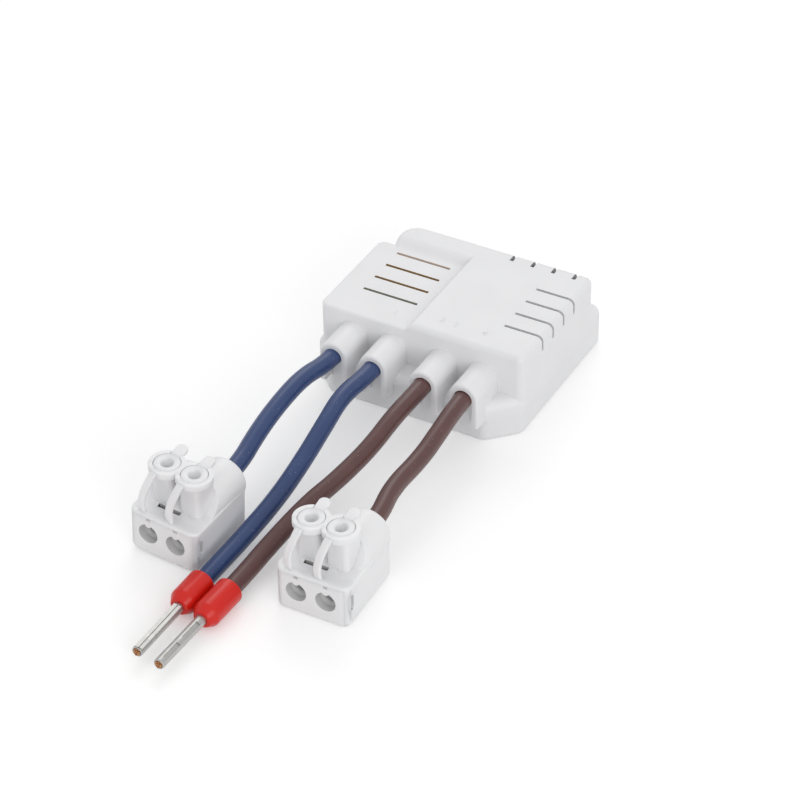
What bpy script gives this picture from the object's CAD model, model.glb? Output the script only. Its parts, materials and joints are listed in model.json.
# %% [markdown]
# # A flush switch module, dressed for its photograph
# The real object is a small white relay module that hides in a switch box. Four short wires leave it. Two end in
# white push-in terminal blocks and two in crimped ferrules with red collars. Its shape and size come from the
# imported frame. This file adds what a camera sees: soft moulded edges, insulation, crimped metal and copper.

import json
import math

import bmesh
import bpy
from mathutils import Matrix, Vector

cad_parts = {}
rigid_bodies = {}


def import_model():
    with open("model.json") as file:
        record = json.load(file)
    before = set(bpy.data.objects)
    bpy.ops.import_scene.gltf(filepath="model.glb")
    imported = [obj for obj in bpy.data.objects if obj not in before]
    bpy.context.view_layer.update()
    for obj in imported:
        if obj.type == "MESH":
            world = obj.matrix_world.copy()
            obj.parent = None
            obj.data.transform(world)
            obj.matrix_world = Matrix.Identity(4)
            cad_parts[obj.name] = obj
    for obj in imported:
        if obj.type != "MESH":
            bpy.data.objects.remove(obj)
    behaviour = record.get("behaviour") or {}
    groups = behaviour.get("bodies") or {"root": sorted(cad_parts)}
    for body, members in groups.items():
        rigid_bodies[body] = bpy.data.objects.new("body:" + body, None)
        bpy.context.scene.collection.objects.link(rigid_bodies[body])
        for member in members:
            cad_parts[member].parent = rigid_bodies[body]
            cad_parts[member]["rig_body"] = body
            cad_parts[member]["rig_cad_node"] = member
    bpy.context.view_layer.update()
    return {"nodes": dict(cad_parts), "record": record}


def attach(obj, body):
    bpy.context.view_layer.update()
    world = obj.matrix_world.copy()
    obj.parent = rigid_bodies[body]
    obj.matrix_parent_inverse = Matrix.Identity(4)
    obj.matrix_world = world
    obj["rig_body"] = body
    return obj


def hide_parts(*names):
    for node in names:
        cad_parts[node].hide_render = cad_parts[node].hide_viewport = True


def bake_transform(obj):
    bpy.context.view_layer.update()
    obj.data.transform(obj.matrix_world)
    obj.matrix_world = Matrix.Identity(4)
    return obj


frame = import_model()
nodes = frame["nodes"]
mounts = {m["name"]: m for m in frame["record"]["mounts"]}
mm = 0.001
weld = 0.001 * mm  # vertices nearer than this are one

# %% [markdown]
# ## Camera
# A long lens far away keeps the module's edges nearly parallel, as in the product photograph. The angles were
# fitted on the corners of the housing, so they are written as they came out.

# %% The photograph's camera
camera = bpy.data.objects.new("camera", bpy.data.cameras.new("camera"))
bpy.context.collection.objects.link(camera)
camera.data.sensor_width = 36
camera.data.lens = 132.1
camera.data.clip_start = 0.01
camera.location = (0.20693, -0.38973, 0.33096)
camera.rotation_euler = [math.radians(a) for a in (52.432, 0.630, 28.758)]
bpy.context.scene.camera = camera
print("camera at", [round(c, 3) for c in camera.location])

# %% [markdown]
# ## Selecting by place
# Every operator acts on what is selected, and the frame arrives with its nodes selected. So each step starts by
# selecting nothing, then the one piece, then the faces or edges it means, found by where they are.

# %% Helpers for object and edit mode
def take_none():
    if bpy.context.mode != "OBJECT":
        bpy.ops.object.mode_set(mode="OBJECT")
    bpy.ops.object.select_all(action="DESELECT")


def take(*pieces):
    take_none()
    for piece in pieces:
        piece.select_set(True)
    bpy.context.view_layer.objects.active = pieces[0]
    return pieces[0]


def edit(piece, kind="FACE"):
    take(piece)
    bpy.ops.object.mode_set(mode="EDIT")
    bpy.ops.mesh.select_mode(type=kind)
    bpy.ops.mesh.select_all(action="DESELECT")


def pick(piece, kind, test):
    edit(piece, kind)
    mesh = bmesh.from_edit_mesh(piece.data)
    parts = {"FACE": mesh.faces, "EDGE": mesh.edges, "VERT": mesh.verts}[kind]
    for part in parts:
        if test(part):
            part.select_set(True)
    mesh.select_flush_mode()
    bmesh.update_edit_mesh(piece.data)


def middle(part):
    return sum((v.co for v in part.verts), Vector()) / len(part.verts)


def settle(piece, place=None):
    take(piece)
    if place is not None:
        piece.matrix_world = place @ piece.matrix_world
    bpy.ops.object.transform_apply(location=True, rotation=True, scale=True)
    return piece


# %% [markdown]
# ## Finishing a mesh
# No moulded edge is sharp. A narrow bevel gives each edge a radius that catches a thin highlight; a subdivision
# surface could round them too, but it would swell the flats. Smooth shading with weighted normals keeps them flat.

# %% Bevel and shading
def soften(piece, width, segments=2, angle=30):
    take(piece)
    bevel = piece.modifiers.new("soft_edges", "BEVEL")
    bevel.width = width * mm
    bevel.segments = segments
    bevel.limit_method = "ANGLE"
    bevel.angle_limit = math.radians(angle)
    bevel.use_clamp_overlap = True
    bpy.ops.object.modifier_apply(modifier=bevel.name)
    return piece


def finish_mesh(piece, angle=35):
    take(piece)
    bpy.ops.object.shade_smooth_by_angle(angle=math.radians(angle))
    weighted = piece.modifiers.new("weighted", "WEIGHTED_NORMAL")
    weighted.keep_sharp = True
    weighted.weight = 80
    bpy.ops.object.modifier_apply(modifier=weighted.name)
    return piece


# %% A node's own shape as a clean mesh
flat_angle = 0.8  # degrees; triangles that lean less are one face


def clean_copy(node, name, width=0.0, segments=2, angle=40, reshape=None):
    piece = nodes[node].copy()
    piece.data = nodes[node].data.copy()
    piece.name = name
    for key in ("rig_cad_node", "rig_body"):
        if key in piece:
            del piece[key]
    piece.parent = None
    bpy.context.collection.objects.link(piece)
    edit(piece)
    bpy.ops.mesh.select_all(action="SELECT")
    bpy.ops.mesh.remove_doubles(threshold=weld)
    bpy.ops.mesh.dissolve_limited(angle_limit=math.radians(flat_angle))
    bpy.ops.object.mode_set(mode="OBJECT")
    piece.data.materials.clear()
    if reshape:
        reshape(piece)
    if width:
        soften(piece, width, segments)
    finish_mesh(piece, angle)
    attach(piece, nodes[node]["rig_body"])
    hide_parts(node)
    return piece

# %% [markdown]
# ## Shared surface effects
# Moulded plastic is never a flat colour. The tool leaves a fine grain, the pull of the cooling skin leaves soft
# waves, and handling leaves dust. Each effect is a node group, built once, whose scale and strength each material
# sets for itself. The nodes could be repeated in every material, but a group keeps them alike.

# %% A group builder
def new_group(name, inputs, outputs):
    group = bpy.data.node_groups.new(name, "ShaderNodeTree")
    for label, kind, value in inputs:
        socket = group.interface.new_socket(label, in_out="INPUT", socket_type=kind)
        if value is not None:
            socket.default_value = value
    for label, kind in outputs:
        group.interface.new_socket(label, in_out="OUTPUT", socket_type=kind)
    start = group.nodes.new("NodeGroupInput")
    end = group.nodes.new("NodeGroupOutput")
    return group, start, end


def node(tree, kind, **values):
    made = tree.nodes.new(kind)
    for key, value in values.items():
        if hasattr(made, key):
            setattr(made, key, value)
        else:
            made.inputs[key.replace("_", " ")].default_value = value
    return made


def wire(tree, source, target):
    tree.links.new(source, target)


# %% Moulded grain: fine spark-eroded texture over soft waves
grain, start, end = new_group(
    "moulded_grain",
    [("Grain Scale", "NodeSocketFloat", 9000.0), ("Wave Scale", "NodeSocketFloat", 160.0),
     ("Strength", "NodeSocketFloat", 0.15)],
    [("Height", "NodeSocketFloat"), ("Variation", "NodeSocketFloat")],
)
place = node(grain, "ShaderNodeTexCoord")
fine = node(grain, "ShaderNodeTexNoise", Detail=3.0, Roughness=0.55)
wave = node(grain, "ShaderNodeTexNoise", Detail=1.0, Roughness=0.4)
for texture, label in ((fine, "Grain Scale"), (wave, "Wave Scale")):
    wire(grain, place.outputs["Object"], texture.inputs["Vector"])
    wire(grain, start.outputs[label], texture.inputs["Scale"])
mixed = node(grain, "ShaderNodeMath", operation="MULTIPLY_ADD")
wire(grain, fine.outputs["Fac"], mixed.inputs[0])
wire(grain, start.outputs["Strength"], mixed.inputs[1])
wire(grain, wave.outputs["Fac"], mixed.inputs[2])
wire(grain, mixed.outputs[0], end.inputs["Height"])
wire(grain, wave.outputs["Fac"], end.inputs["Variation"])
print("group:", grain.name)

# %% Dust: sparse pale specks
dust, start, end = new_group(
    "dust_specks",
    [("Scale", "NodeSocketFloat", 700.0), ("Amount", "NodeSocketFloat", 0.06)],
    [("Mask", "NodeSocketFloat")],
)
place = node(dust, "ShaderNodeTexCoord")
cells = node(dust, "ShaderNodeTexVoronoi", feature="F1")
wire(dust, place.outputs["Object"], cells.inputs["Vector"])
wire(dust, start.outputs["Scale"], cells.inputs["Scale"])
near = node(dust, "ShaderNodeMath", operation="LESS_THAN")
wire(dust, cells.outputs["Distance"], near.inputs[0])
wire(dust, start.outputs["Amount"], near.inputs[1])
wire(dust, near.outputs[0], end.inputs["Mask"])
print("group:", dust.name)

# %% [markdown]
# ## Materials
# Each finish starts from one Principled shader. The group outputs feed the bump and a narrow roughness range, so
# the highlight breaks up the way it does on the real plastic, and the colour hardly moves.

# %% A material builder
def finish(name, colour, roughness, second=None, bump=0.0, specks=None, grain_scale=9000.0, wave_scale=160.0,
           grain_strength=0.15, spread=0.05, **constants):
    material = bpy.data.materials.new(name)
    material.use_nodes = True
    tree = material.node_tree
    shader = tree.nodes["Principled BSDF"]
    for key, value in constants.items():
        shader.inputs[key.replace("_", " ")].default_value = value
    surface = node(tree, "ShaderNodeGroup", node_tree=grain)
    surface.inputs["Grain Scale"].default_value = grain_scale
    surface.inputs["Wave Scale"].default_value = wave_scale
    surface.inputs["Strength"].default_value = grain_strength
    tint = node(tree, "ShaderNodeMix", data_type="RGBA")
    tint.inputs[6].default_value = (*colour, 1)
    tint.inputs[7].default_value = (*(second or [c * 0.96 for c in colour]), 1)
    wire(tree, surface.outputs["Variation"], tint.inputs[0])
    last = tint.outputs[2]
    if specks:
        scale, amount, speck_colour = specks
        specked = node(tree, "ShaderNodeGroup", node_tree=dust)
        specked.inputs["Scale"].default_value = scale
        specked.inputs["Amount"].default_value = amount
        over = node(tree, "ShaderNodeMix", data_type="RGBA")
        over.inputs[7].default_value = (*speck_colour, 1)
        wire(tree, specked.outputs["Mask"], over.inputs[0])
        wire(tree, last, over.inputs[6])
        last = over.outputs[2]
    wire(tree, last, shader.inputs["Base Color"])
    rough = node(tree, "ShaderNodeMapRange")
    rough.inputs["To Min"].default_value = roughness - spread
    rough.inputs["To Max"].default_value = roughness + spread
    wire(tree, surface.outputs["Variation"], rough.inputs["Value"])
    wire(tree, rough.outputs["Result"], shader.inputs["Roughness"])
    if bump:
        bumped = node(tree, "ShaderNodeBump")
        bumped.inputs["Strength"].default_value = bump
        bumped.inputs["Distance"].default_value = 0.05 * mm
        wire(tree, surface.outputs["Height"], bumped.inputs["Height"])
        wire(tree, bumped.outputs["Normal"], shader.inputs["Normal"])
    return material


def paint(piece, material):
    piece.data.materials.clear()
    piece.data.materials.append(material)
    return piece


def dress(node_name, material):
    node_object = nodes[node_name]
    node_object.data.materials.clear()
    node_object.data.materials.append(material)

# %% White plastics
white_shell = finish("white_shell", (0.83, 0.83, 0.843), 0.42, bump=0.25, Specular_IOR_Level=0.42,
                     Subsurface_Weight=0.12, Subsurface_Scale=0.8 * mm)
block_white = finish("block_white", (0.85, 0.85, 0.86), 0.33, bump=0.12, wave_scale=240.0,
                     Specular_IOR_Level=0.5, Subsurface_Weight=0.35, Subsurface_Scale=1.6 * mm)
for material in (white_shell, block_white):
    shader = material.node_tree.nodes["Principled BSDF"]
    shader.inputs["Subsurface Radius"].default_value = (1.0, 0.95, 0.9)
print("white plastics:", white_shell.name, block_white.name)

# %% Walls deep in a slot
# They look darker in the photo than white walls would in this light, so they have plain tones of their own
deep = 0.5  # their roughness
entry_wall = finish("entry_wall", (0.60, 0.60, 0.60), deep)
entry_shadow = finish("entry_shadow", (0.09, 0.09, 0.09), deep)
leaf_grey = finish("leaf_grey", (0.60, 0.60, 0.60), deep)
vent_tones = [
    finish("vent_olive", (0.37, 0.37, 0.31), deep),
    finish("vent_glow", (0.40, 0.26, 0.11), deep),
    finish("vent_pale", (0.72, 0.60, 0.52), deep),
    finish("vent_shade", (0.68, 0.68, 0.69), deep),
    finish("vent_dark", (0.32, 0.32, 0.32), deep),
]
print("deep walls:", entry_wall.name, entry_shadow.name, leaf_grey.name, *(tone.name for tone in vent_tones))

# %% Insulation and collars
insulation = {"bump": 0.35, "grain_scale": 2600.0, "wave_scale": 300.0, "Specular_IOR_Level": 0.62}
speck_scale, speck_amount = 1100.0, 0.09
blue_skin = finish("blue_skin", (0.016, 0.042, 0.148), 0.36, second=(0.026, 0.058, 0.172),
                   specks=(speck_scale, speck_amount, (0.17, 0.21, 0.31)), **insulation)
brown_skin = finish("brown_skin", (0.090, 0.034, 0.032), 0.36, second=(0.115, 0.048, 0.043),
                    specks=(speck_scale, speck_amount, (0.28, 0.17, 0.15)), **insulation)
red_collar = finish("red_collar", (0.66, 0.013, 0.006), 0.30, bump=0.10, wave_scale=260.0,
                    Specular_IOR_Level=0.42, Subsurface_Weight=0.15, Subsurface_Scale=0.8 * mm)
red_shader = red_collar.node_tree.nodes["Principled BSDF"]
red_shader.inputs["Subsurface Radius"].default_value = (1.0, 0.25, 0.15)
print("insulation:", blue_skin.name, brown_skin.name, red_collar.name)

# %% Metals
tinned = finish("tinned_copper", (0.56, 0.555, 0.54), 0.42, bump=0.15, grain_scale=5200.0, wave_scale=700.0,
                second=(0.50, 0.495, 0.48), Metallic=1.0)
copper = finish("copper", (0.56, 0.30, 0.15), 0.34, bump=0.10, grain_scale=4200.0, Metallic=1.0)
brass = finish("tinned_brass", (0.70, 0.62, 0.45), 0.32, bump=0.10, Metallic=1.0)
spring_steel = finish("spring_steel", (0.56, 0.56, 0.56), 0.28, bump=0.10, Metallic=1.0)
gold = finish("gold_trace", (0.83, 0.60, 0.22), 0.28, bump=0.05, Metallic=1.0)
print("metals:", *(metal.name for metal in (tinned, copper, brass, spring_steel, gold)))

# %% Inner parts
board_green = finish("green_board", (0.012, 0.075, 0.030), 0.30, bump=0.10)
black_mould = finish("black_mould", (0.010, 0.010, 0.011), 0.45, bump=0.20)
ferrite = finish("ferrite", (0.055, 0.056, 0.060), 0.50, bump=0.25)
yellow_tape = finish("yellow_tape", (0.72, 0.44, 0.035), 0.22, bump=0.10)
sleeve = finish("capacitor_sleeve", (0.010, 0.012, 0.030), 0.28, bump=0.08)
yellow_case = finish("yellow_case", (0.62, 0.42, 0.05), 0.40, bump=0.15)
blue_dip = finish("blue_coating", (0.012, 0.055, 0.30), 0.25, bump=0.20)
pale_dip = finish("resistor_coating", (0.16, 0.32, 0.42), 0.45, bump=0.30)
print("inner finishes ready")

# %% [markdown]
# ## Wires
# The four leads are 1.5 mm2 stranded wires, 3.4 mm over the insulation. Each is one smooth curve near a few
# control points chosen by hand: level out of its outlet, then down towards the surface and into its terminal
# block or ferrule. A chain of cylinders would show its joints. A NURBS spline of order 3 bends like the real wire.

# %% Routes of the leads
wire_radius = 1.7 * mm
routes = {
    "blue_lead_1": [(-13.5, -16.0, 10.7), (-13.5, -23.0, 10.7), (-14.55, -29.8, 11.8), (-14.8, -38.3, 11.2),
                    (-14.6, -46.2, 10.0), (-13.714, -54.167, 8.628), (-14.068, -61.158, 8.628)],
    "blue_lead_2": [(-5.3, -16.0, 10.7), (-5.3, -23.4, 10.7), (-6.0, -30.7, 11.2), (-5.4, -38.6, 9.6),
                    (-5.2, -47.2, 7.2), (-5.5, -55.1, 5.0), (-6.45, -64.4, 3.1), (-6.97, -72.3, 2.55),
                    (-7.056, -80.9, 2.55)],
    "brown_lead_3": [(5.1, -16.0, 10.7), (5.1, -23.4, 10.7), (4.7, -30.7, 10.4), (4.3, -39.0, 8.8),
                     (2.6, -47.5, 7.1), (0.7, -54.7, 6.1), (-1.1, -64.9, 3.7), (-1.616, -73.2, 2.55),
                     (-1.886, -81.797, 2.55)],
    "brown_lead_4": [(13.3, -16.0, 10.7), (13.3, -23.0, 10.7), (13.6, -30.0, 10.0), (13.7, -37.6, 8.9),
                     (13.0, -46.8, 8.7), (14.659, -54.372, 8.4), (14.745, -61.372, 8.4)],
}


# %% One lead as a bevelled NURBS curve
def lead_curve(name, points, material):
    curve = bpy.data.curves.new(name + "_skin", "CURVE")
    curve.dimensions = "3D"
    spline = curve.splines.new("NURBS")
    spline.points.add(len(points) - 1)
    for point, at in zip(spline.points, points):
        point.co = (*(c * mm for c in at), 1)
    spline.order_u = 3
    spline.use_endpoint_u = True
    curve.resolution_u = 16
    curve.bevel_depth = wire_radius
    curve.bevel_resolution = 9
    curve.use_fill_caps = True
    piece = bpy.data.objects.new(name + "_skin", curve)
    bpy.context.collection.objects.link(piece)
    curve.materials.append(material)
    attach(piece, "module")
    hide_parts(name)
    return piece


leads = {}
for name, points in routes.items():
    leads[name] = lead_curve(name, points, blue_skin if name.startswith("blue") else brown_skin)
print("leads:", sorted(leads))

# %% [markdown]
# ## Housing
# The two shells come from one mould set, with the seam about a quarter of the way up. Their shape is already in
# the frame, but as loose triangles. A merged copy with its flat triangles dissolved keeps the flats flat, and a
# narrow bevel gives each edge the small radius that a mould has.

# %% Walls of the vents
vent_floor, step_height = 13.9, 15.3
left_vents, right_vents, rear_vents = (-18, -3, -6, 9), (13.3, 20.6, -6, 9), (4.8, 18.7, 14, 22)
tape_front, tape_rear = -3, 5.6  # between them lie the two middle left vents


def within(at, area):
    return area[0] < at.x < area[1] and area[2] < at.y < area[3]


def vent_tone(face):
    at, lean = face.center / mm, face.normal
    if at.z < vent_floor or abs(lean.z) > 0.2:
        return 0
    if within(at, left_vents) and at.z < step_height:
        # In the photo yellow tape shows in the middle left vents and grey parts in the outer ones
        return 1 if at.y < tape_front else 3 if at.y > tape_rear else 2
    if within(at, right_vents) and abs(lean.y) > 0.7:
        return 4
    if within(at, rear_vents) and abs(lean.x) > 0.7:
        return 5
    return 0


# %% Upper housing and bottom cover
upper = paint(clean_copy("upper_housing", "upper_shell", 0.16), white_shell)
lower = paint(clean_copy("bottom_cover", "lower_shell", 0.12), white_shell)
for tone in vent_tones:
    upper.data.materials.append(tone)
for face in upper.data.polygons:
    face.material_index = vent_tone(face)
print("vent walls with a tone of their own:", sum(face.material_index > 0 for face in upper.data.polygons))
print("housing:", len(upper.data.polygons) + len(lower.data.polygons), "faces")

# %% [markdown]
# The outlets are marked on the lid with small raised signs. Plain numbers stand there, raised as little as the
# real signs, so that they only catch the light. Text is quicker than cutting each sign from a plate.

# %% Raised numbers
number_height, number_relief = 2.1, 0.035
lid_places = {"1": (-6.8, -9.2, 15.515), "2": (2.9, -8.9, 16.915),
              "3": (5.7, -9.1, 16.915), "4": (11.5, -8.9, 16.915)}


def raised_number(text, at):
    take_none()
    bpy.ops.object.text_add(location=(0, 0, 0))
    sign = bpy.context.object
    sign.name = "number_" + text
    sign.data.body = text
    sign.data.size = number_height * mm
    sign.data.extrude = number_relief * mm
    sign.data.align_x = "CENTER"
    sign.data.align_y = "CENTER"
    bpy.ops.object.convert(target="MESH")
    sign = bpy.context.object
    settle(sign, Matrix.Translation([c * mm for c in at]))
    paint(sign, white_shell)
    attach(sign, "module")
    return sign


for text, at in lid_places.items():
    raised_number(text, at)
print("numbers:", len(lid_places))

# %% [markdown]
# ## Terminal blocks
# Each block is a glossy white moulding with a hood over the wire, two towers with release buttons and a front
# plate. It is shaped upright at the origin, front face on y = 0, and then laid where the frame's terminals are. So
# both blocks come from the same steps, whichever way they lie.

# %% Where a block lies
throat_y, entry_height = 2.75, 4.65  # the terminals' place in the upright block, in mm like all places below
pole_places = {"1": -2.84, "2": 2.84}
tower_y = 6.05


def block_pose(side):
    first, second = mounts[side + "_terminal_1"], mounts[side + "_terminal_2"]
    one, two = Vector(first["pos_m"]), Vector(second["pos_m"])
    across = (two - one).normalized()
    back = -Vector(first["axis"]).normalized()
    up = across.cross(back)
    turn = Matrix((across, back, up)).transposed().to_4x4()
    corner = (one + two) / 2 - (back * throat_y + up * entry_height) * mm
    return Matrix.Translation(corner) @ turn


print("left block at", [round(c, 4) for c in block_pose("left").translation])

# %% [markdown]
# The ring round a button almost touches it: the gap is a hairline. In the copy the ring's inner wall is taken by
# its distance from the tower's axis and drawn in. The plate's right and top edges are drawn over their seams, so
# that only the seam at the left stays open, as on the real block. The latch window moves towards the front, where
# the photo shows it. Moving a few vertices keeps the shape that the frame has; a new model would have to match it.

# %% Rings and window
seat_radius, seat_reach, seat_low, ring_draw = 2.65, 0.07, 15.1, 0.932
window_side, window_front, window_rear, window_low, window_top = 6.12, 1.5, 3.0, 3.2, 6.6
window_y, window_stretch, window_shift = 2.25, 1.2, -0.75
block_half_width, block_corner = 7.08, 1.7


def draw_rings_in(piece):
    for x in pole_places.values():
        def on_seat(vert):
            reach = math.hypot(vert.co.x - x * mm, vert.co.y - tower_y * mm)
            return abs(reach - seat_radius * mm) < seat_reach * mm and vert.co.z > seat_low * mm

        pick(piece, "VERT", on_seat)
        bpy.ops.transform.resize(value=(ring_draw, ring_draw, 1), center_override=(x * mm, tower_y * mm, 0))


def widen_window(piece):
    def on_window(vert):
        x, y, z = vert.co
        return (x > window_side * mm and window_front * mm < y < window_rear * mm
                and window_low * mm < z < window_top * mm)

    pick(piece, "VERT", on_window)
    bpy.ops.transform.resize(value=(1, window_stretch, 1), center_override=(0, window_y * mm, 0))
    bpy.ops.transform.translate(value=(0, window_shift * mm, 0))
    bpy.ops.object.mode_set(mode="OBJECT")
    # The block's corner is round there, so the outer rim of the window is laid back onto it
    centre = block_half_width - block_corner
    for vert in piece.data.vertices:
        x, y, z = vert.co / mm
        if x > 6.95 and 0.5 < y < block_corner and 3.0 < z < 6.8:
            vert.co.x = (centre + math.sqrt(block_corner ** 2 - (block_corner - y) ** 2)) * mm


def shift(piece, test, by):
    pick(piece, "VERT", test)
    bpy.ops.transform.translate(value=[c * mm for c in by])


def reshape_body(piece):
    draw_rings_in(piece)
    widen_window(piece)


def reshape_plate(piece):
    widen_window(piece)
    shift(piece, lambda vert: vert.co.x > 6.4 * mm and vert.co.y > 0.5 * mm, (-0.35, 0, 0))  # latch
    shift(piece, lambda vert: 6.0 * mm < vert.co.x < 6.12 * mm, (0.2, 0, 0))  # right edge, over the seam
    shift(piece, lambda vert: vert.co.x > 6.2 * mm and vert.co.y < 0.6 * mm, (0, 0.105, 0))  # and tucked in
    shift(piece, lambda vert: vert.co.z > 7.7 * mm, (0, 0, 0.25))  # top edge
    shift(piece, lambda vert: vert.co.y < 0.4 * mm, (0, -0.012, 0))  # front


# %% [markdown]
# Little light reaches into the entries, the latch window and the slot between the towers, and behind each throat a
# spring leaf waits for the wire. The walls there take darker tones by their place in the upright block, which
# needs no unwrapping and no picture. The photo shows that the entries look grey, but not the leaf's shape, so a
# short cylinder with a bevelled front stands for it.

# %% Darker entries
entry_reach, entry_depth, entry_top = 2.1, 3.5, 7
room_half_width, room_start, room_end, room_top = 5.6, 3.2, 10.3, 8.4  # the hollow behind the front plate
ledge_low, rear_wall_end = 7.5, 4.2


def entry_tone(at, lean):
    # 0 is the plain white, 1 a wall in shade, 2 the dark inside of the block
    reach = min(math.hypot(at.x - x, at.z - entry_height) for x in pole_places.values())
    if reach < entry_reach and 0.1 < at.y < entry_depth and at.z < entry_top:
        return 1
    in_window = 6.0 < at.x < 7.0 and 0.6 < at.y < window_rear and window_low < at.z < window_top
    if in_window and abs(lean.y) < 0.5 and (abs(lean.x) < 0.7 or at.x < 6.5):
        return 1
    on_ledge = lean.z > 0.5 and at.z > ledge_low
    if abs(at.x) < room_half_width and room_start < at.y < room_end and at.z < room_top and not on_ledge:
        return 1 if lean.y < -0.5 and at.y < rear_wall_end else 2
    return 0


def shade_entries(piece, pose):
    piece.data.materials.append(entry_wall)
    piece.data.materials.append(entry_shadow)
    inward = pose.inverted()
    for face in piece.data.polygons:
        face.material_index = entry_tone((inward @ face.center) / mm, inward.to_3x3() @ face.normal)


# %% Spring leaves behind the throats of the entries
leaf_radius, leaf_thickness, leaf_y = 1.5, 0.3, 3.58


def entry_leaf(side, number, x):
    take_none()
    bpy.ops.mesh.primitive_cylinder_add(
        vertices=40, radius=leaf_radius * mm, depth=leaf_thickness * mm,
        location=(x * mm, leaf_y * mm, entry_height * mm), rotation=(math.radians(90), 0, 0))
    leaf = settle(bpy.context.object)
    pick(leaf, "FACE", lambda face: face.normal.y < -0.9)
    bpy.ops.mesh.bevel(offset=0.12 * mm, segments=2, affect="EDGES")
    bpy.ops.object.mode_set(mode="OBJECT")
    leaf.name = f"{side}_entry_leaf_{number}"
    paint(finish_mesh(leaf, 40), leaf_grey)
    settle(leaf, block_pose(side))
    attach(leaf, "module")


# %% Block mouldings
def upright(change, pose):
    # The change is made with the block upright at the origin, and then the block is laid back
    def reshape(piece):
        settle(piece, pose.inverted())
        change(piece)
        settle(piece, pose)

    return reshape


# Part, width of its bevel, what changes in its shape
block_parts = (("block_body", 0.16, reshape_body), ("block_front_plate", 0.07, reshape_plate),
               ("block_lid", 0.08, None))
for side in ("left", "right"):
    pose = block_pose(side)
    for part, width, change in block_parts:
        reshape = upright(change, pose) if change else None
        piece = paint(clean_copy(f"{side}_{part}", f"{side}_{part}_skin", width, reshape=reshape), block_white)
        shade_entries(piece, pose)
    for number, x in pole_places.items():
        entry_leaf(side, number, x)

# %% [markdown]
# ## Release buttons
# A button is a disc with a conical eye for the screwdriver, on a stem, and a soft finger that reaches back over
# the ring. Disc, eye and stem are one circle pulled from ring to ring, which needs no cutting, as joined
# cylinders would. The finger starts as a cube.

# %% Pull a circle from ring to ring
def pulled(name, rings, sides):
    take_none()
    s, r = rings[0]
    bpy.ops.mesh.primitive_circle_add(vertices=sides, radius=r * mm, location=(0, -s * mm, 0),
                                      rotation=(math.radians(90), 0, 0))
    piece = bpy.context.object
    piece.name = name
    settle(piece)
    edit(piece, "EDGE")
    bpy.ops.mesh.select_all(action="SELECT")
    for next_s, next_r in rings[1:]:
        bpy.ops.mesh.extrude_edges_indiv()
        bpy.ops.transform.translate(value=(0, -(next_s - s) * mm, 0))
        factor = next_r / r
        if factor != 1:
            bpy.ops.transform.resize(value=(factor, 1, factor), center_override=(0, -next_s * mm, 0))
        s, r = next_s, next_r
    bpy.ops.mesh.select_all(action="SELECT")
    bpy.ops.mesh.remove_doubles(threshold=2 * weld)
    bpy.ops.mesh.normals_make_consistent(inside=False)
    bpy.ops.object.mode_set(mode="OBJECT")
    return piece


# %% Disc, eye and stem
# Height and radius, from the bottom of the eye over the rim to the end of the stem
button_rings = [(14.3, 0.56), (14.36, 0.64), (16.25, 1.10), (16.44, 1.18), (16.52, 1.28), (16.55, 1.42),
                (16.55, 2.18), (16.52, 2.28), (16.44, 2.35), (16.3, 2.38), (15.85, 2.38), (15.85, 1.25),
                (6.95, 1.25)]
disc_stretch = 1.034  # the disc is a little longer than wide, towards the finger


def button_disc():
    disc = pulled("disc", button_rings, 56)
    edit(disc, "EDGE")
    bpy.ops.mesh.select_all(action="SELECT")
    bpy.ops.mesh.fill_holes(sides=0)
    bpy.ops.mesh.select_all(action="SELECT")
    bpy.ops.mesh.normals_make_consistent(inside=False)
    bpy.ops.object.mode_set(mode="OBJECT")
    settle(disc, Matrix.Rotation(math.radians(-90), 4, "X"))
    take(disc)
    bpy.ops.transform.resize(value=(1, disc_stretch, 1), center_override=(0, 0, 0))
    return settle(disc)


# %% Finger
finger_middle, finger_size = (0, 3.35, 16.33), (2.2, 4.1, 1.08)


def button_finger():
    take_none()
    bpy.ops.mesh.primitive_cube_add(size=1, location=[c * mm for c in finger_middle],
                                    scale=[c * mm for c in finger_size])
    finger = settle(bpy.context.object)
    # The front of its top slopes down into the disc, and its rear end is round
    shift(finger, lambda vert: vert.co.y < 1.4 * mm and vert.co.z > 16.5 * mm, (0, 0, -0.62))

    def upright_at_rear(edge):
        return middle(edge).y > 5 * mm and abs(edge.verts[0].co.z - edge.verts[1].co.z) > 0.8 * mm

    pick(finger, "EDGE", upright_at_rear)
    bpy.ops.mesh.bevel(offset=0.98 * mm, segments=6)
    bpy.ops.object.mode_set(mode="OBJECT")
    return soften(finger, 0.42, 5, 30)


for side in ("left", "right"):
    for number, x in pole_places.items():
        take(button_disc(), button_finger())
        bpy.ops.object.join()
        button = bpy.context.object
        button.name = f"{side}_button_{number}_skin"
        paint(finish_mesh(button, 40), block_white)
        settle(button, block_pose(side) @ Matrix.Translation((x * mm, tower_y * mm, 0)))
        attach(button, f"{side}_button_{number}")
        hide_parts(f"{side}_button_{number}")
print("buttons ready")

# %% [markdown]
# ## Straps
# Button, strap and block come from one shot of plastic. The strap leaves the disc over the ring, hangs down in a
# bow and ends on the ledge beside the notch over the wire entry. One short edge is pulled along its middle line,
# thickened and rounded, which keeps the band's width level, where a bevelled curve would twist. It bends as the
# button goes down, so it is blended between the two bodies.

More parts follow.
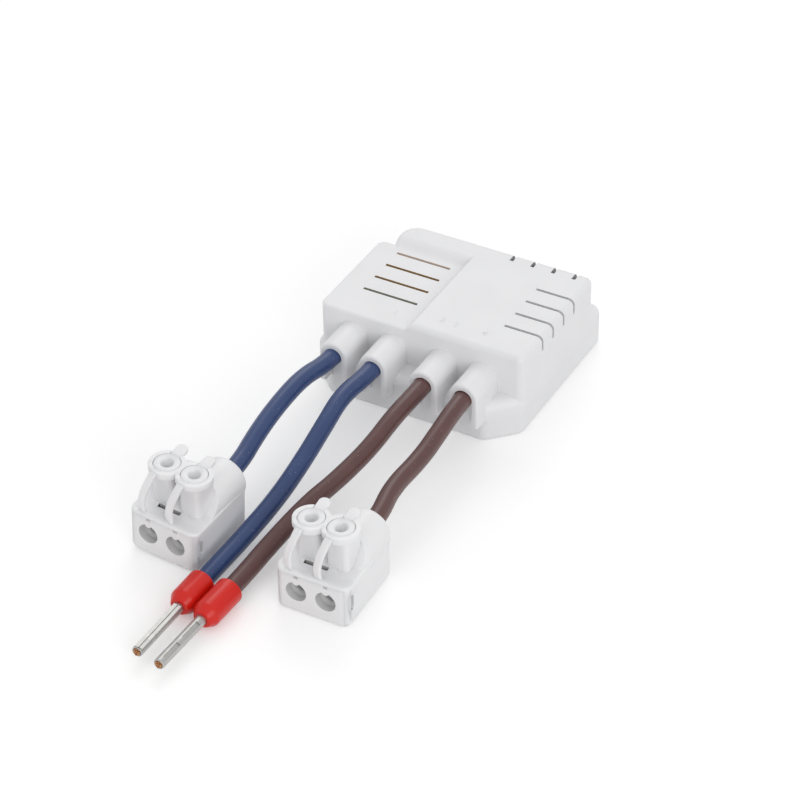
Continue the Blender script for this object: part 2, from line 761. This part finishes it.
# %% One strap
strap_line = [(-0.22, -1.58, 16.10), (-0.33, -2.38, 16.22), (-0.52, -3.06, 16.20), (-0.68, -3.48, 15.85),
              (-0.94, -3.78, 15.05), (-1.27, -4.16, 13.95), (-1.61, -4.42, 12.85), (-1.91, -4.60, 11.80),
              (-2.05, -4.83, 10.75), (-2.07, -4.90, 9.70), (-1.98, -4.90, 8.90), (-1.62, -5.02, 8.46),
              (-0.95, -5.25, 8.18)]
strap_width, strap_thickness, strap_turn = 1.5, 0.72, -14


def strap_band():
    start = Vector(strap_line[0]) * mm
    take_none()
    bpy.ops.mesh.primitive_plane_add(size=strap_width * mm, location=(0, 0, 0))
    band = bpy.context.object
    edit(band, "VERT")
    bpy.ops.mesh.select_all(action="SELECT")
    bpy.ops.transform.resize(value=(1, 0, 1), center_override=(0, 0, 0))
    bpy.ops.mesh.remove_doubles(threshold=weld)
    settle(band, Matrix.Translation(start) @ Matrix.Rotation(math.radians(strap_turn), 4, "Z"))
    edit(band, "EDGE")
    bpy.ops.mesh.select_all(action="SELECT")
    for one, two in zip(strap_line, strap_line[1:]):
        bpy.ops.mesh.extrude_edges_indiv()
        bpy.ops.transform.translate(value=(Vector(two) - Vector(one)) * mm)
    take(band)
    thick = band.modifiers.new("thick", "SOLIDIFY")
    thick.thickness = strap_thickness * mm
    thick.offset = 0
    bpy.ops.object.modifier_apply(modifier=thick.name)
    soften(band, 0.2, 2, 60)
    smooth = band.modifiers.new("smooth", "SUBSURF")
    smooth.levels = 2
    bpy.ops.object.modifier_apply(modifier=smooth.name)
    return band


# %% The ring's sector in front of the button
sector_width, sector_height, sector_angle, sector_bearing = 0.86, 1.32, 44, 225
sector_radius, sector_level = 2.89, 15.9


def ring_sector():
    take_none()
    bpy.ops.mesh.primitive_plane_add(size=1, rotation=(math.radians(90), 0, 0))
    sector = bpy.context.object
    sector.scale = (sector_width * mm, sector_height * mm, 1)
    settle(sector, Matrix.Translation((sector_radius * mm, 0, sector_level * mm)))
    edit(sector)
    bpy.ops.mesh.select_all(action="SELECT")
    bpy.ops.mesh.spin(steps=14, angle=math.radians(sector_angle), center=(0, 0, 0), axis=(0, 0, 1))
    bpy.ops.mesh.select_all(action="SELECT")
    bpy.ops.mesh.normals_make_consistent(inside=False)
    bpy.ops.object.mode_set(mode="OBJECT")
    soften(sector, 0.14, 2, 40)
    centre = sum((v.co for v in sector.data.vertices), Vector()) / len(sector.data.vertices)
    turn = math.radians(sector_bearing) - math.atan2(centre.y, centre.x)
    return settle(sector, Matrix.Rotation(turn, 4, "Z"))


for side in ("left", "right"):
    pose = block_pose(side)
    for number, x in pole_places.items():
        strap = strap_band()
        strap.name = f"{side}_strap_{number}_skin"
        paint(finish_mesh(strap, 60), block_white)
        place = pose @ Matrix.Translation((x * mm, tower_y * mm, 0))
        settle(strap, place)
        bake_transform(strap)
        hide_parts(f"{side}_strap_{number}")
        sector = ring_sector()
        sector.name = f"{side}_ring_sector_{number}"
        paint(finish_mesh(sector, 40), block_white)
        settle(sector, place)
        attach(sector, "module")
print("straps ready")

# %% [markdown]
# ## Ferrules
# A ferrule is a thin tinned copper tube with a plastic collar. The collar is turned: its circle is pulled from
# ring to ring along the axis, outside and back inside, so it has a real wall. The tube is pulled the same way,
# then the crimping tool's prints are inset into it and pressed flat. Cutting them with a block would do as well,
# but pressed faces keep the mesh in even rows.

# %% Where a ferrule lies
pin_middle = 15.8  # from the ferrule's rear end, as are the rings' places below


def ferrule_pose(side):
    pin = mounts["ferrule_pin_" + side]
    back = -Vector(pin["axis"]).normalized()
    across = back.cross(Vector((0, 0, 1))).normalized()
    turn = Matrix((across, back, across.cross(back))).transposed().to_4x4()
    return Matrix.Translation(Vector(pin["pos_m"]) + back * pin_middle * mm) @ turn


# %% Collars
def collar_rings(mouth):
    # The mouth flares a little inside, where the wire is pushed in
    return [(4.0, 1.78), (mouth + 0.7, 1.78), (mouth + 0.15, 1.98), (mouth, 2.16), (mouth, 2.36),
            (mouth + 0.06, 2.45), (mouth + 0.2, 2.5), (5.2, 2.5), (7.7, 2.5), (7.95, 2.47), (8.15, 2.38),
            (9.2, 1.76), (9.36, 1.66), (9.45, 1.5), (9.45, 1.02), (9.3, 1.02), (5.9, 1.55), (5.9, 1.78),
            (4.0, 1.78)]


for side, mouth in (("left", 2.0), ("right", 0.7)):
    collar = paint(finish_mesh(pulled("collar_" + side, collar_rings(mouth), 64), 50), red_collar)
    settle(collar, ferrule_pose(side))
    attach(collar, "module")
    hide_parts("ferrule_collar_" + side)
print("collars ready")

# %% Crimped tubes
tube_start, cone_end, tube_end = 6.2, 9.4, 22.15
outer, wall_middle, bore = 1.0, 0.9, 0.72
first_row, last_row, rows = 9.6, 21.9, 42
tube_rings = [(tube_start, 1.24), (tube_start, 1.48), (cone_end, outer)]
tube_rings += [(first_row + (last_row - first_row) * n / rows, outer) for n in range(rows + 1)]
tube_rings += [(22.05, 0.99), (tube_end, 0.94), (tube_end, 0.78), (22.05, 0.73), (21.5, bore), (cone_end, bore),
               (tube_start, 1.24)]


def press(piece, bearing, half_angle, start, end, depth, border):
    # The print lies on top, so the tube is first turned until the wanted side is up
    settle(piece, Matrix.Rotation(math.radians(bearing), 4, "Y"))

    def under_tool(face):
        at = middle(face)
        outside = math.hypot(at.x, at.z) > wall_middle * mm
        return outside and face.normal.z > math.cos(math.radians(half_angle)) and -end * mm < at.y < -start * mm

    pick(piece, "FACE", under_tool)
    bpy.ops.mesh.inset(thickness=border * mm, depth=0)
    level = (outer - depth) * mm
    bpy.ops.transform.resize(value=(1, 1, 0), center_override=(0, 0, level))
    settle(piece, Matrix.Rotation(math.radians(-bearing), 4, "Y"))


# The left tube was crimped along its length on four sides, the right one in two short places
long_print = {"half_angle": 15, "start": 9.9, "end": 22.0, "depth": 0.06, "border": 0.05}
short_print = {"half_angle": 22, "depth": 0.28, "border": 0.06}
for side in ("left", "right"):
    tube = pulled("tube_" + side, tube_rings, 72)
    if side == "right":
        press(tube, -33, start=11.2, end=15.5, **short_print)
        press(tube, -33, start=17.0, end=21.0, **short_print)
    else:
        for bearing in (20, -18, -56, -94):
            press(tube, bearing, **long_print)
    paint(finish_mesh(tube, 24), tinned)
    settle(tube, ferrule_pose(side))
    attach(tube, "module")
    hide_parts("ferrule_tube_" + side)
print("tubes ready")

# %% [markdown]
# The stranded core ends just beyond the tube. Each strand is a thin rod with a rounded end, and they are laid in
# rings around the middle one, a little longer or shorter than each other, as cut strands are. A bumpy disc would
# do from afar, but not from the side.

# %% Copper strands
core_start, core_end, strand_radius, strand_pitch = 19.0, 22.45, 0.139, 0.28


def strand_bundle(side):
    strands = []
    for ring, count in ((0, 1), (1, 6), (2, 12)):
        for n in range(count):
            take_none()
            turn = 2 * math.pi * n / count + 0.2 * ring
            reach = core_end - 0.09 * ((3 * n + 2 * ring) % 4)
            out = strand_pitch * ring
            at = (out * math.cos(turn), -(reach + core_start) / 2, out * math.sin(turn))
            bpy.ops.mesh.primitive_cylinder_add(
                vertices=14, radius=strand_radius * mm, depth=(reach - core_start) * mm,
                location=[c * mm for c in at], rotation=(math.radians(90), 0, 0))
            strand = settle(bpy.context.object)
            pick(strand, "FACE", lambda face: face.normal.y < -0.9)
            bpy.ops.mesh.bevel(offset=0.05 * mm, segments=2, affect="EDGES")
            bpy.ops.object.mode_set(mode="OBJECT")
            strands.append(strand)
    take(*strands)
    bpy.ops.object.join()
    bundle = bpy.context.object
    bundle.name = "strands_" + side
    return bundle


for side in ("left", "right"):
    bundle = paint(finish_mesh(strand_bundle(side), 40), copper)
    settle(bundle, ferrule_pose(side))
    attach(bundle, "module")
    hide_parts("bare_end_" + side)
print("strands ready")

# %% [markdown]
# ## Inside
# Hardly anything of the electronics can be seen through the vents, whose walls carry the tones that the photo shows
# there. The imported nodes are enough, so they only get their materials.

# %% Materials on the inner nodes
inner = {
    "circuit_board": board_green, "radio_board": board_green, "wire_sockets": brass, "relay": black_mould,
    "transformer_bobbin": black_mould, "transformer_core": ferrite, "transformer_winding": yellow_tape,
    "storage_capacitor": sleeve, "mains_capacitor": yellow_case, "varistor": blue_dip,
    "fuse_resistor": pale_dip, "board_chips": black_mould, "radio_shield": spring_steel, "radio_antenna": gold,
}
for side in ("left", "right"):
    inner[side + "_clamped_core"] = copper
    inner[side + "_contact_bar"] = brass
    inner[side + "_push_springs"] = spring_steel
    inner[side + "_cage_clamp"] = spring_steel
for name, material in inner.items():
    dress(name, material)
print("inner nodes dressed:", len(inner))

for name, lead in leads.items():
    side = "left" if name.startswith("blue") else "right"
print("leads declared")

# %% [markdown]
# ## Studio
# The photograph has a white sweep and wide soft light. A plain white floor would need so much light that the white
# parts would burn out. So the floor is pale, and it glows a little only where the camera, a reflection or clear
# plastic sees it: it looks white and still takes the object's shadow. The white world is the wide light. A large
# soft lamp behind the module draws the shadows forward, and one at the right lifts the sides.

# %% Floor
floor_glow = 0.29
bpy.ops.object.select_all(action="DESELECT")
bpy.ops.mesh.primitive_plane_add(size=6, location=(0, 0, 0))
floor = bpy.context.object
floor.name = "floor"
sweep = bpy.data.materials.new("sweep")
sweep.use_nodes = True
tree = sweep.node_tree
tree.nodes.clear()
out = node(tree, "ShaderNodeOutputMaterial")
matt = node(tree, "ShaderNodeBsdfDiffuse")
matt.inputs["Color"].default_value = (0.80, 0.80, 0.80, 1)
glow = node(tree, "ShaderNodeEmission")
glow.inputs["Color"].default_value = (1, 1, 1, 1)
rays = node(tree, "ShaderNodeLightPath")
seen = node(tree, "ShaderNodeMath", operation="MAXIMUM")
seen_too = node(tree, "ShaderNodeMath", operation="MAXIMUM")
strength = node(tree, "ShaderNodeMath", operation="MULTIPLY")
strength.inputs[1].default_value = floor_glow
both = node(tree, "ShaderNodeAddShader")
wire(tree, rays.outputs["Is Camera Ray"], seen.inputs[0])
wire(tree, rays.outputs["Is Glossy Ray"], seen.inputs[1])
wire(tree, seen.outputs[0], seen_too.inputs[0])
wire(tree, rays.outputs["Is Transmission Ray"], seen_too.inputs[1])
wire(tree, seen_too.outputs[0], strength.inputs[0])
wire(tree, strength.outputs[0], glow.inputs["Strength"])
wire(tree, matt.outputs[0], both.inputs[0])
wire(tree, glow.outputs[0], both.inputs[1])
wire(tree, both.outputs[0], out.inputs["Surface"])
paint(floor, sweep)
print("floor ready")

# %% World and lamps
world = bpy.data.worlds.new("studio")
bpy.context.scene.world = world
world.use_nodes = True
world.node_tree.nodes["Background"].inputs["Color"].default_value = (1, 1, 1, 1)
world.node_tree.nodes["Background"].inputs["Strength"].default_value = 0.77


def soft_lamp(name, at, aim, size, power):
    data = bpy.data.lights.new(name, "AREA")
    data.shape = "DISK"
    data.size = size
    data.energy = power
    lamp = bpy.data.objects.new(name, data)
    bpy.context.collection.objects.link(lamp)
    lamp.location = at
    lamp.rotation_euler = (Vector(aim) - Vector(at)).to_track_quat("-Z", "Y").to_euler()
    return lamp


middle_of_module = (0, -0.03, 0)
lamps = [soft_lamp("back_light", (-0.24, 0.50, 0.56), middle_of_module, size=0.42, power=0.80),
         soft_lamp("side_fill", (0.60, -0.52, 0.34), middle_of_module, size=0.5, power=1.5)]
print("lamps:", [lamp.name for lamp in lamps])

# %% Exit
bpy.context.scene.view_settings.view_transform = "Standard"
